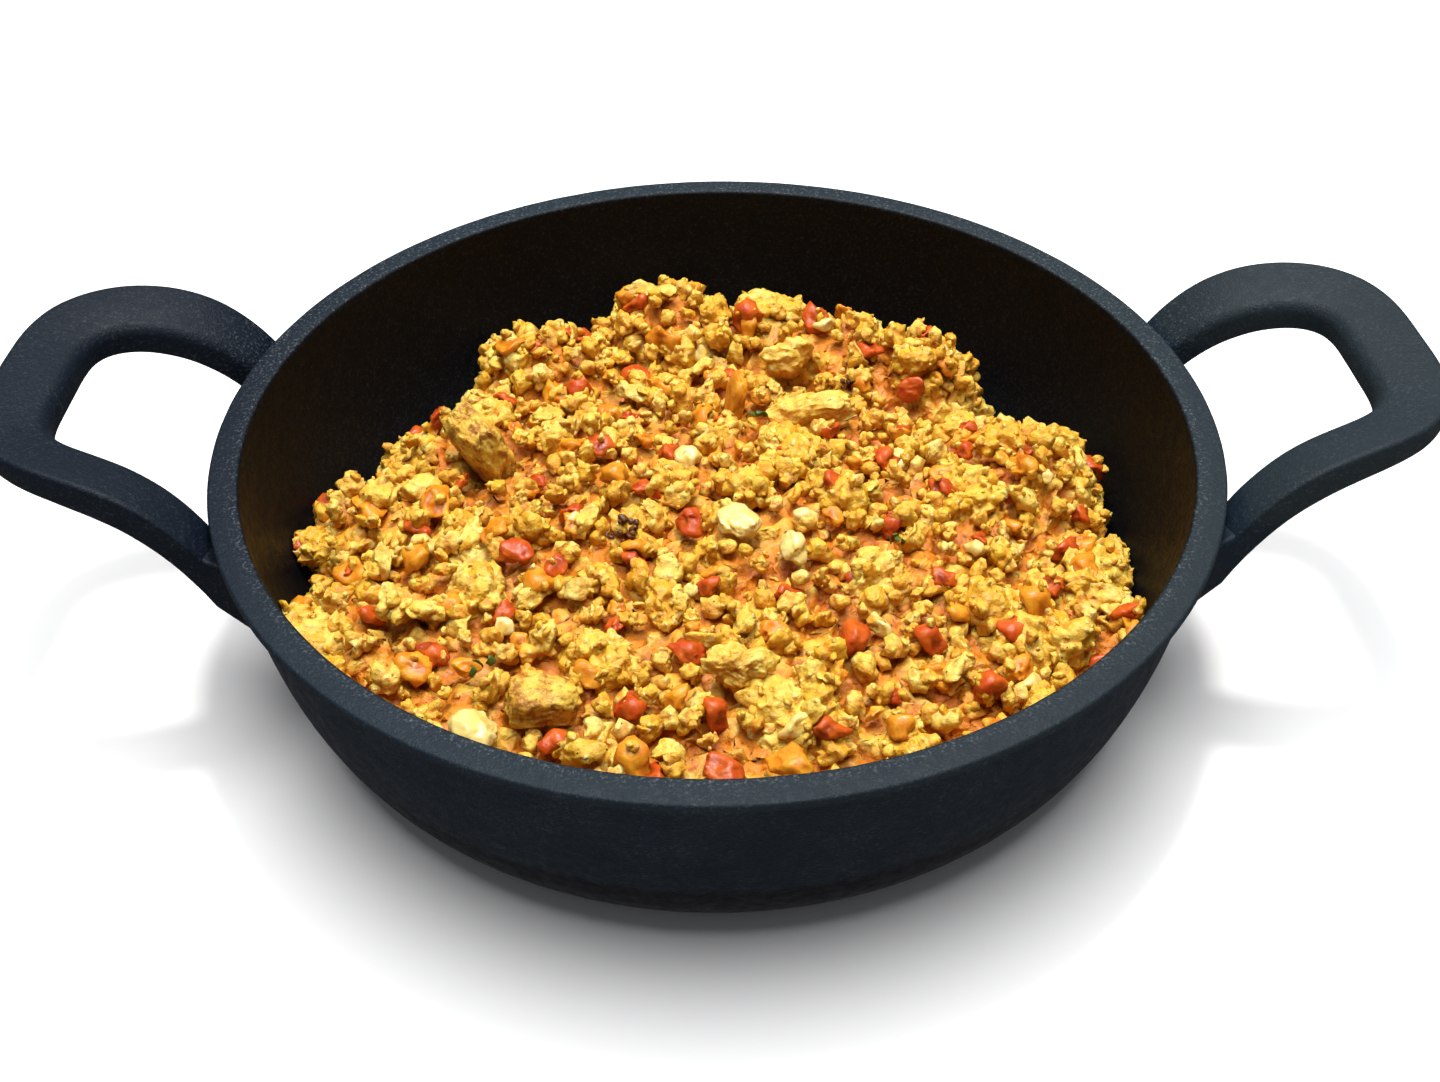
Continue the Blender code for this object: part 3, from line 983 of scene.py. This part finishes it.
def scrambled_egg(name, stops, stain_from=0.52, hollow_shade_share=0.65, wet=0.08, glow=0.3, stain=PEACH):
    """Set egg, creamy to golden, with painted shade and some tomato juice in its hollows, juice in
    patches, painted shade on its sides, painted highlights on its curd tips, and pepper dust.
    """
    finish = Finish(name)
    shade = finish.attribute("shade")
    drift = finish.noise(9 * MM, 3)
    tone = finish.math("ADD", finish.math("MULTIPLY", shade, 0.35), finish.math("MULTIPLY", drift, 0.75))
    body = finish.ramp(tone, *stops)
    mottle = finish.span(finish.noise(1.6 * MM, 3, 0.6), 0.45, 0.7, 0.0, 0.4)
    body = finish.mix(mottle, body, GOLD)
    # Painted shade: faces turned sideways or down are painted amber
    upward = finish.axes(finish.facing)[2]
    body = finish.mix(finish.span(upward, 0.8, -0.2, 0.0, 0.7), body, AMBER)
    curdled = finish.cells(2.3 * MM, "SMOOTH_F1")
    fine = finish.noise(1.1 * MM, 3, 0.65)
    # Painted shade between the small curds, painted highlight on their raised tips
    body = finish.mix(finish.span(curdled, 0.38, 0.75, 0.0, 0.6), body, AMBER)
    body = finish.mix(finish.span(curdled, 0.26, 0.08, 0.0, 0.45), body, PAINTED_TIP_HIGHLIGHT)
    # Hollows painted orange: painted shade, and some tomato juice
    low = finish.math("MULTIPLY", finish.span(finish.attribute("hollow"), 0.36, 0.95), hollow_shade_share)
    body = finish.mix(low, body, HOLLOW_SHADE_ORANGE)
    patch = finish.span(finish.noise(12 * MM, 3), stain_from, stain_from + 0.14)
    juice = finish.math("MULTIPLY", patch, finish.span(finish.noise(2.6 * MM, 3), 0.38, 0.62, 0.2, 0.85))
    body = finish.mix(juice, body, stain)
    pepper_dust = finish.span(finish.cells(3.4 * MM), 0.075, 0.055)
    finish.link(finish.mix(pepper_dust, body, (0.05, 0.03, 0.015)), "Base Color")
    finish.link(finish.span(finish.noise(1.8 * MM, 3), 0.3, 0.7, 0.38, 0.65), "Roughness")
    finish.set(Subsurface_Weight=glow, Subsurface_Radius=(1.0, 0.42, 0.12), Subsurface_Scale=1.8 * MM)
    finish.set(Coat_Weight=wet, Coat_Roughness=0.25, Specular_IOR_Level=0.35)
    grain = finish.bump(fine, 0.7 * MM, 0.9)
    finish.link(finish.bump(finish.span(curdled, 0.0, 0.8, 1.0, 0.0), 1.3 * MM, 0.9, grain), "Normal")
    return finish.material


def egg_white():
    """Smooth cream set white with a wet skin."""
    finish = Finish("egg_white_set")
    body = finish.ramp(finish.noise(5 * MM, 3), (0.3, (0.76, 0.62, 0.25)), (0.7, (0.74, 0.51, 0.11)))
    # Painted shade: gold in the hollows
    low = finish.math("MULTIPLY", finish.span(finish.attribute("hollow"), 0.4, 0.9), 0.6)
    finish.link(finish.mix(low, body, GOLD), "Base Color")
    finish.set(Subsurface_Weight=0.3, Subsurface_Radius=(1.0, 0.6, 0.3), Subsurface_Scale=2.0 * MM)
    finish.set(Roughness=0.38, Coat_Weight=0.2, Coat_Roughness=0.2)
    finish.link(finish.bump(finish.noise(2.2 * MM, 3), 0.6 * MM, 0.5), "Normal")
    return finish.material


def browned_egg():
    """Smooth fried sheet, golden with brown mottles."""
    finish = Finish("egg_browned_sheet")
    body = finish.ramp(finish.noise(4 * MM, 4), (0.35, (0.72, 0.49, 0.075)), (0.65, (0.62, 0.32, 0.028)))
    brown = finish.span(finish.noise(4.5 * MM, 5, 0.75), 0.46, 0.58, 0.0, 0.9)
    finish.link(finish.mix(brown, body, (0.25, 0.075, 0.008)), "Base Color")
    finish.set(Subsurface_Weight=0.15, Subsurface_Radius=(1.0, 0.45, 0.15), Subsurface_Scale=1.5 * MM)
    finish.set(Roughness=0.5, Coat_Weight=0.05, Coat_Roughness=0.25, Specular_IOR_Level=0.3)
    finish.link(finish.bump(finish.noise(1.4 * MM, 4, 0.65), 0.7 * MM, 0.8), "Normal")
    return finish.material


def wet_vegetable(name, flesh, skin, hollow_shade):
    """Cooked tomato or pepper: glossy and a little see-through, darker where its skin shows, with painted
    shade in its hollows.
    """
    finish = Finish(name)
    body = finish.mix(finish.span(finish.noise(3.5 * MM, 3), 0.35, 0.65), flesh, skin)
    # Painted shade: darker in the hollows
    low = finish.math("MULTIPLY", finish.span(finish.attribute("hollow"), 0.45, 0.9), 0.6)
    finish.link(finish.mix(low, body, hollow_shade), "Base Color")
    finish.set(Subsurface_Weight=0.3, Subsurface_Radius=(1.0, 0.3, 0.1), Subsurface_Scale=1.8 * MM)
    finish.link(finish.span(finish.noise(2 * MM, 2), 0.3, 0.7, 0.3, 0.5), "Roughness")
    finish.set(Coat_Weight=0.08, Coat_Roughness=0.2, Specular_IOR_Level=0.3)
    finish.link(finish.bump(finish.noise(1.8 * MM, 3), 0.5 * MM, 0.6), "Normal")
    return finish.material


def herb_green():
    finish = Finish("herb_leaf")
    stops = ((0.35, (0.035, 0.07, 0.006)), (0.7, (0.08, 0.13, 0.010)))
    body = finish.ramp(finish.noise(1.5 * MM, 2), *stops)
    finish.link(body, "Base Color")
    finish.set(Roughness=0.4)
    return finish.material


def burnt_brown():
    finish = Finish("burnt_egg")
    stops = ((0.35, (0.035, 0.012, 0.004)), (0.7, (0.19, 0.060, 0.010)))
    body = finish.ramp(finish.noise(1.2 * MM, 2), *stops)
    finish.link(body, "Base Color")
    finish.set(Roughness=0.45)
    finish.link(finish.bump(finish.noise(0.5 * MM, 2), 0.2 * MM, 0.8), "Normal")
    return finish.material


def floor_white():
    finish = Finish("floor_white")
    body = finish.ramp(finish.noise(0.4, 2), (0.0, (0.93, 0.93, 0.93)), (1.0, (0.95, 0.95, 0.95)))
    finish.link(body, "Base Color")
    finish.set(Roughness=0.8, Specular_IOR_Level=0.1)
    return finish.material


# Stage ---------------------------------------------------------------------------------------

CAMERA_PLACE = (-4.7 * MM, -285.2 * MM, 266.0 * MM)
CAMERA_DOWN = 41.205
CAMERA_AZIMUTH = 1.05
CAMERA_ROLL = 0.621
LENS = 36.25
SKY = (0.93, 0.96, 1.0)
SKY_STRENGTH = 0.16
FLOOR_HALF_WIDTH = 2.5
# Lamps: (name, place, width in metres, watts, colour)
LAMPS = (
    ("overhead", (0.0, 0.05, 0.95), 0.90, 15.0, (1.0, 1.0, 1.0)),
    ("key", (0.05, 0.24, 0.88), 0.12, 4.6, (1.0, 0.98, 0.94)),
)


def add_camera():
    data = bpy.data.cameras.new("camera")
    data.lens = LENS
    data.sensor_width = 36.0
    data.clip_start = 0.01
    camera = bpy.data.objects.new("camera", data)
    bpy.context.scene.collection.objects.link(camera)
    turn = Matrix.Rotation(math.radians(-CAMERA_AZIMUTH), 4, "Z")
    turn = turn @ Matrix.Rotation(math.radians(90 - CAMERA_DOWN), 4, "X")
    turn = turn @ Matrix.Rotation(math.radians(-CAMERA_ROLL), 4, "Z")
    camera.matrix_world = Matrix.Translation(CAMERA_PLACE) @ turn
    bpy.context.scene.camera = camera


def add_light(name, place, size, power, colour):
    data = bpy.data.lights.new(name, "AREA")
    data.shape = "DISK"
    data.size = size
    data.energy = power
    data.color = colour
    light = bpy.data.objects.new(name, data)
    light.location = place
    light.rotation_euler = (-Vector(place)).to_track_quat("-Z", "Y").to_euler()
    bpy.context.scene.collection.objects.link(light)


def add_stage():
    bm = bmesh.new()
    bmesh.ops.create_grid(bm, x_segments=1, y_segments=1, size=FLOOR_HALF_WIDTH)
    floor = new_object("floor", mesh_from_bm("floor", bm), floor_white())
    floor.data.transform(Matrix.Translation((0, 0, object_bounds()[0][2])))
    floor.visible_glossy = False
    world = bpy.data.worlds.new("world")
    world.use_nodes = True
    sky = world.node_tree.nodes["Background"]
    sky.inputs["Color"].default_value = (*SKY, 1.0)
    sky.inputs["Strength"].default_value = SKY_STRENGTH
    bpy.context.scene.world = world
    for lamp in LAMPS:
        add_light(*lamp)
    bpy.context.scene.view_settings.view_transform = "Standard"


# Build ---------------------------------------------------------------------------------------

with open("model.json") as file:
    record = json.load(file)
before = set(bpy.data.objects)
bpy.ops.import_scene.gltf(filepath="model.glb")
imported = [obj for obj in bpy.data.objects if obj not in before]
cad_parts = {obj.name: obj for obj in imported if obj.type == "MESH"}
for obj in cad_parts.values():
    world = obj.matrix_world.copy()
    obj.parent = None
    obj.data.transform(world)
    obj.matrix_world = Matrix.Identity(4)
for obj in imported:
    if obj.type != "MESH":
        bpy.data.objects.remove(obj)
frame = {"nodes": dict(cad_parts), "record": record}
cad_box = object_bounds()
add_camera()
add_stage()

TOPPINGS = sorted(n for n in frame["nodes"] if n not in ("pan", "egg_scramble"))
heap = Heap(frame["nodes"]["egg_scramble"])
skin = heap_skin(heap, 0.0)
store_free(skin.data, TOPPINGS)
lay = scatter_tree()

iron = cast_iron()
pale_egg = scrambled_egg("egg_pale", ((0.15, PALE), (0.55, YELLOW), (0.95, GOLD)))
golden_egg = scrambled_egg("egg_golden", ((0.15, YELLOW), (0.6, GOLD), (0.95, PEACH)), 0.47)
core_stops = ((0.1, PALE), (0.45, YELLOW), (0.8, AMBER))
# The core shows only in the gaps between pieces; its dark juice patches and deep hollows are partly
# painted shade
core_egg = scrambled_egg("egg_core_soaked", core_stops, 0.5, 0.95, glow=0.0, stain=JUICE_AND_SHADE)
sheet_stops = ((0.2, (0.76, 0.62, 0.20)), (0.6, (0.74, 0.54, 0.09)))
sheet_egg = scrambled_egg("egg_sheet_smooth", sheet_stops, 0.58, 0.35, 0.1)
white = egg_white()
browned = browned_egg()
tomato_red = wet_vegetable(
    "tomato_cooked", flesh=(0.54, 0.105, 0.008), skin=(0.42, 0.045, 0.005), hollow_shade=(0.17, 0.014, 0.001),
)
pepper_orange = wet_vegetable(
    "pepper_cooked", flesh=(0.70, 0.31, 0.018), skin=(0.60, 0.18, 0.008), hollow_shade=(0.3, 0.05, 0.001),
)

pan = make_pan(iron)
core = heap_core(heap, core_egg)

folded = family("folded", 12, 5, 1000, "folded", (0.5, 0.75), 0.14)
lumps = family("lump", 12, 5, 1100, "crumbly", (0.55, 0.8), 0.16)
large = family("large", 16, 4, 100, "crumbly", (0.55, 0.85), 0.18)
medium = family("medium", 24, 3, 200, "crumbly", (0.5, 0.9), 0.16)
flakes = family("flake", 40, 2, 800, "diced", (0.35, 0.9), 0.24)
small = family("small", 40, 2, 300, "crumbly", (0.5, 1.0), 0.2)
torn_whites = family("torn_white", 12, 3, 400, "torn", (0.5, 0.75), 0.16)
torn = family("torn", 16, 3, 500, "torn", (0.45, 0.8), 0.20)
slabs = family("slab", 12, 3, 900, "torn", (0.3, 0.5), 0.22)
scraps = [torn_sheet(f"scrap_{i}", 600 + i, 0.5 + 0.12 * i) for i in range(10)]

ANY_WAY = (math.pi, math.pi, math.pi)
LYING = (0.7, 0.7, math.pi)
TUMBLED = (1.3, 1.3, math.pi)
# Lengths in mm: (name, shapes, finish, room left round the toppings, spacing, amount,
# smallest and largest, tilt, lowest and highest, seed)
LAID_FIRST = (
    ("lumps_pale", lumps, pale_egg, 6.5, 45, 0.97, (8.0, 14.0), LYING, (-7.0, -3.0), 31),
    ("lumps_golden", lumps, golden_egg, 6.5, 45, 0.97, (8.0, 14.0), LYING, (-7.0, -3.0), 32),
    ("egg_folds", folded, sheet_egg, 6.5, 45, 0.97, (8.0, 14.0), LYING, (-7.0, -3.0), 33),
    ("clumps_pale", large, pale_egg, 4.5, 21, 0.9, (4.4, 8.4), LYING, (-4.5, -0.3), 1),
    ("clumps_golden", large, golden_egg, 4.5, 21, 0.9, (4.4, 8.4), LYING, (-4.5, -0.3), 11),
    ("curds_pale", medium, pale_egg, 2.2, 10.8, 0.8, (2.0, 4.8), ANY_WAY, (-2.5, 1.4), 2),
    ("curds_golden", medium, golden_egg, 2.2, 10.8, 0.8, (2.0, 4.8), ANY_WAY, (-2.5, 1.4), 3),
    ("nubs_pale", small, pale_egg, 1.8, 9.0, 0.9, (1.8, 4.0), ANY_WAY, (-2.6, 0.2), 51),
    ("nubs_golden", small, golden_egg, 1.8, 9.0, 0.9, (1.8, 4.0), ANY_WAY, (-2.6, 0.2), 52),
    ("egg_sheets", slabs, sheet_egg, 4, 25, 0.8, (3.6, 7.5), LYING, (-0.5, 1.6), 9),
    ("tomato_bits", torn, tomato_red, 3, 18.5, 0.9, (3.0, 6.4), LYING, (-1.4, 1.6), 6),
    ("pepper_bits", torn, pepper_orange, 3, 18.5, 0.9, (3.0, 6.6), LYING, (-1.4, 1.6), 7),
)
LAID_ON_TOP = (
    ("flakes_pale", flakes, pale_egg, -0.8, 6.4, 0.9, (0.7, 2.6), ANY_WAY, (-0.9, 0.4), 4),
    ("flakes_golden", flakes, golden_egg, -0.8, 7.0, 0.9, (0.7, 2.6), ANY_WAY, (-0.9, 0.4), 14),
    ("crumbs", small, pale_egg, -0.8, 9.0, 0.9, (0.7, 2.6), ANY_WAY, (-0.9, 0.4), 24),
)
LAID_LAST = (
    ("egg_white_bits", torn_whites, white, 3, 36, 0.8, (2.4, 5.2), LYING, (-1.0, 1.2), 5),
    ("egg_scraps", scraps, pale_egg, 3, 30, 0.9, (3.0, 5.4), TUMBLED, (-0.5, 1.4), 8),
)

pieces = lay_each(LAID_FIRST, lay, skin.data)
top = exposed_skin([piece.data for piece in pieces.values()] + [core.data], TOPPINGS)
pieces.update(lay_each(LAID_ON_TOP, lay, top))
pieces.update(lay_each(LAID_LAST, lay, skin.data))
discard(skin)

leaf_green = herb_green()
burnt = burnt_brown()
HERB_SPOTS = ((12 * MM, 31 * MM), (-55 * MM, -59 * MM), (44 * MM, -20 * MM))
BURNT_SPOTS = ((-22 * MM, -15 * MM), (-24 * MM, -19 * MM), (38 * MM, 52 * MM))
pieces["herb_bits"] = strewn(
    "herb_bits", heap, scraps, leaf_green, HERB_SPOTS, stray=1.8 * MM, count_each=3,
    sizes=(1.0 * MM, 2.1 * MM), lift=(1.2 * MM, 2.6 * MM), seed=41,
)
pieces["burnt_crumbs"] = strewn(
    "burnt_crumbs", heap, small, burnt, BURNT_SPOTS, stray=1.9 * MM, count_each=11,
    sizes=(0.5 * MM, 1.5 * MM), lift=(0.6 * MM, 2.6 * MM), seed=42,
)

for name, piece in pieces.items():
    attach(piece, "root")
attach(core, "root")
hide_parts("egg_scramble")
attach(pan, "root")
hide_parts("pan")

finish_of = {
    "egg": pale_egg, "egg_white": white, "egg_browned": browned,
    "tomato": tomato_red, "pepper": pepper_orange,
}
# Toppings: (node, fineness of its net, kind of skin, turn, tilt, share of its box's width, depth and
# height, unevenness)
HEROES = (
    ("egg_slab_browned", 5, "slab", 35, -20, (0.42, 1.0, 1.0), 0.15),
    ("egg_roll", 5, "slab", 4, -8, (1.18, 1.1, 1.05), 0.20),
    ("egg_fold_back", 5, "folded", 0, 0, (1.15, 1.15, 1.15), 0.12),
    ("egg_slab_front", 5, "slab", 15, 10, (1.0, 0.9, 0.8), 0.14),
    ("egg_curd_front", 5, "crumbly", 0, 0, (1.1, 1.1, 1.1), 0.12),
    ("egg_fold_left", 5, "folded", -8, 0, (1.3, 1.3, 1.2), 0.12),
    ("egg_white_front", 4, "smooth", 0, 0, (1.25, 1.25, 1.1), 0.16),
    ("egg_white_centre", 4, "smooth", 20, 0, (1.25, 1.25, 1.1), 0.16),
    ("egg_white_long", 4, "smooth", 10, 0, (1.25, 1.25, 1.1), 0.16),
    ("pepper_front", 4, "torn", 10, 15, (1.2, 1.2, 1.2), 0.12),
    ("pepper_disc", 4, "diced", 0, 20, (1.1, 1.1, 1.1), 0.10),
    ("pepper_strip", 4, "slab", 8, 12, (0.55, 1.0, 1.0), 0.14),
    ("tomato_centre", 4, "torn", -20, 15, (1.2, 1.2, 1.2), 0.12),
    ("tomato_left", 4, "torn", -30, 10, (1.2, 1.2, 1.2), 0.12),
    ("tomato_back", 4, "diced", 10, 20, (1.1, 1.1, 1.1), 0.12),
    ("tomato_front", 4, "torn", -5, 20, (1.2, 1.2, 1.2), 0.12),
    ("tomato_right", 4, "diced", 8, 12, (1.1, 1.1, 1.1), 0.12),
)
slot_of = {s["node"]: s["material_slot"] for s in frame["record"]["subparts"]}
for i, (name, level, kind, turn, tilt, share, uneven) in enumerate(HEROES):
    low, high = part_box(name)
    mesh = curd(name + "_shape", level, 700 + i, kind, (0.98, 1.0), uneven)
    store(mesh, "shade", np.full(len(mesh.vertices), TOPPING_SHADE))
    half = [(high[k] - low[k]) / 2 * share[k] for k in range(3)]
    placed = (
        Matrix.Translation((low + high) / 2)
        @ Matrix.Rotation(math.radians(turn), 4, "Z")
        @ Matrix.Rotation(math.radians(tilt), 4, "Y")
        @ Matrix.Diagonal((*half, 1.0))
    )
    mesh.transform(placed)
    keep_in_pan(mesh)
    piece = new_object(name + "_piece", mesh, finish_of[slot_of[name]])
    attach(piece, "root")
    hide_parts(name)
